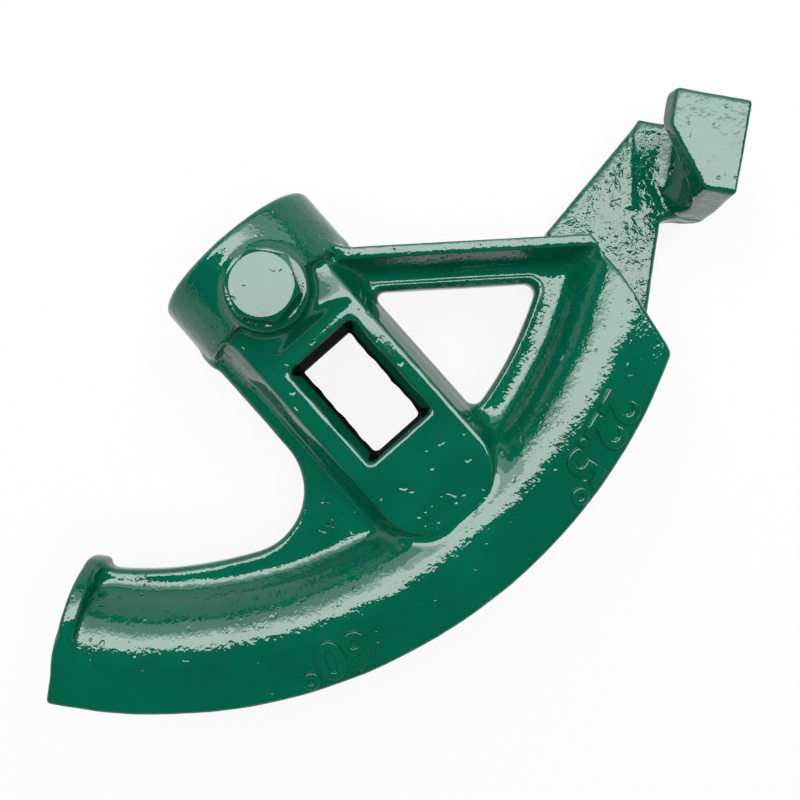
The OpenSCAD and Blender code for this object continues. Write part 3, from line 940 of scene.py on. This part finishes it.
class BuildBolt(bpy.types.Operator):
    """Build the hex-head clamp bolt with its thread"""

    bl_idname = "tube_bender.bolt"
    bl_label = "Clamp bolt"

    def execute(self, context):
        s = millimetres(context.scene.tube_bender_bolt)
        radius, height = bolt_rows(s)
        obj = revolve("hex_bolt", radius, height, (0.0, -s.axis_offset))
        paint = enamel("enamelled_bolt_paint", context.scene.tube_bender_enamel, 0.00004, 0.00006)
        obj.data.materials.append(paint)
        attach(obj, "bolt")
        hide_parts("clamp_bolt")
        return {"FINISHED"}


class BuildNumbers(bpy.types.Operator):
    """Build the raised degree numbers on the near flank"""

    bl_idname = "tube_bender.numbers"
    bl_label = "Degree numbers"

    def execute(self, context):
        s = millimetres(context.scene.tube_bender_numbers)
        c = millimetres(context.scene.tube_bender_casting)
        points, faces = [], []
        for degrees in (22.5, 60):
            bent, own = raised_number("%g°" % degrees, c.start_angle - math.radians(degrees), s, c)
            first = sum(len(p) for p in points)
            points.append(bent)
            faces += [tuple(v + first for v in face) for face in own]
        mesh = bpy.data.meshes.new("degree_numbers")
        mesh.from_pydata((np.concatenate(points) * MM).tolist(), [], faces)
        mesh.validate()
        obj = add_object("degree_numbers", mesh)
        obj.data.materials.append(bpy.data.materials["enamelled_iron_paint"])
        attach(obj, "head")
        return {"FINISHED"}


class BuildStage(bpy.types.Operator):
    """Set the floor, the lights and the camera"""

    bl_idname = "tube_bender.stage"
    bl_label = "Stage"

    def execute(self, context):
        scene = context.scene
        s = millimetres(scene.tube_bender_stage)
        floor = cove(s.floor_radius * MM, s.wall_height * MM, s.floor_height * MM)
        floor.data.materials.append(paper(tuple(s.paper)))

        world = bpy.data.worlds.new("studio")
        world.use_nodes = True
        back = world.node_tree.nodes["Background"]
        back.inputs["Color"].default_value = (1.0, 1.0, 1.0, 1.0)
        back.inputs["Strength"].default_value = 0.05
        scene.world = world

        turn = Matrix.Rotation(s.picture_turn, 3, "Z")
        tilt = Matrix.Rotation(s.tilt_y, 3, "Y") @ Matrix.Rotation(s.tilt_x, 3, "X")
        aim = Vector((s.camera_right, s.camera_up, 0.0))
        middle = turn @ aim * MM

        def in_picture(right, up, height):
            return middle + turn @ Vector((right, up, height))

        # Two lamps light the paint and don't show in its gloss. Places and sizes of lamps are in metres
        across = turn @ Vector((1.0, 0.0, 0.0))
        hidden = {"visible_glossy": False, "visible_camera": False}
        softbox("fill", in_picture(0.0, 0.0, 1.5), middle, across, (1.9, 1.9), 1.75, **hidden)
        below = in_picture(0.0, 0.30, 0.0)
        softbox("key", in_picture(0.0, 0.43, 0.47), below, across, (0.9, 0.7), 0.8, **hidden)

        # A stack of three leaning lamps shows in the gloss alone, brightest at the edge that they share.
        # Each hangs a little below the next, so that none hides in another's plane
        lower_edge, top_height, width = 0.049, 0.492, 0.9
        facing_down = turn @ Vector((0.0, 0.259, 0.966))
        shining = {"visible_diffuse": False, "visible_camera": False}
        for name, depth, radiance in (("near", 0.18, 4.8), ("middle", 0.27, 3.4), ("far", 0.58, 2.0)):
            height = top_height - depth * 0.13
            place = in_picture(0.0, lower_edge + depth * 0.483, height - 0.007 * radiance)
            softbox("gloss_" + name, place, place - facing_down, across, (width, depth), radiance, **shining)

        camera = bpy.data.cameras.new("camera")
        camera.sensor_fit = "HORIZONTAL"
        camera.sensor_width = 36.0
        camera.lens = 45.36
        camera.clip_start = 0.01
        camera.clip_end = 20.0
        view = bpy.data.objects.new("camera", camera)
        scene.collection.objects.link(view)
        place = turn @ (tilt.transposed() @ Vector((0.0, 0.0, s.camera_distance)) + aim) * MM
        facing = (tilt @ turn.transposed()).transposed()
        view.matrix_world = Matrix.Translation(place) @ facing.to_4x4()
        scene.camera = view
        scene.view_settings.view_transform = "Standard"
        return {"FINISHED"}


class TubeBenderPanel(bpy.types.Panel):
    """Lists the steps that build the tube bender head"""

    bl_idname = "VIEW3D_PT_tube_bender"
    bl_label = "Tube bender"
    bl_space_type = "VIEW_3D"
    bl_region_type = "UI"
    bl_category = "Tube bender"

    def draw(self, context):
        for operator in OPERATORS:
            self.layout.operator(operator.bl_idname)


GROUPS = {
    "tube_bender_casting": TubeBenderCasting,
    "tube_bender_bolt": TubeBenderBolt,
    "tube_bender_numbers": TubeBenderNumbers,
    "tube_bender_enamel": TubeBenderEnamel,
    "tube_bender_stage": TubeBenderStage,
}
OPERATORS = (BuildStage, BuildCasting, BuildBolt, BuildNumbers)


def register():
    for name, group in GROUPS.items():
        bpy.utils.register_class(group)
        setattr(bpy.types.Scene, name, bpy.props.PointerProperty(type=group))
    for made in (*OPERATORS, TubeBenderPanel):
        bpy.utils.register_class(made)


def unregister():
    for made in (TubeBenderPanel, *reversed(OPERATORS)):
        bpy.utils.unregister_class(made)
    for name, group in reversed(GROUPS.items()):
        delattr(bpy.types.Scene, name)
        bpy.utils.unregister_class(group)


def main():
    register()
    bpy.ops.tube_bender.stage()
    bpy.ops.tube_bender.casting()
    bpy.ops.tube_bender.bolt()
    bpy.ops.tube_bender.numbers()


if __name__ == "__main__":
    main()
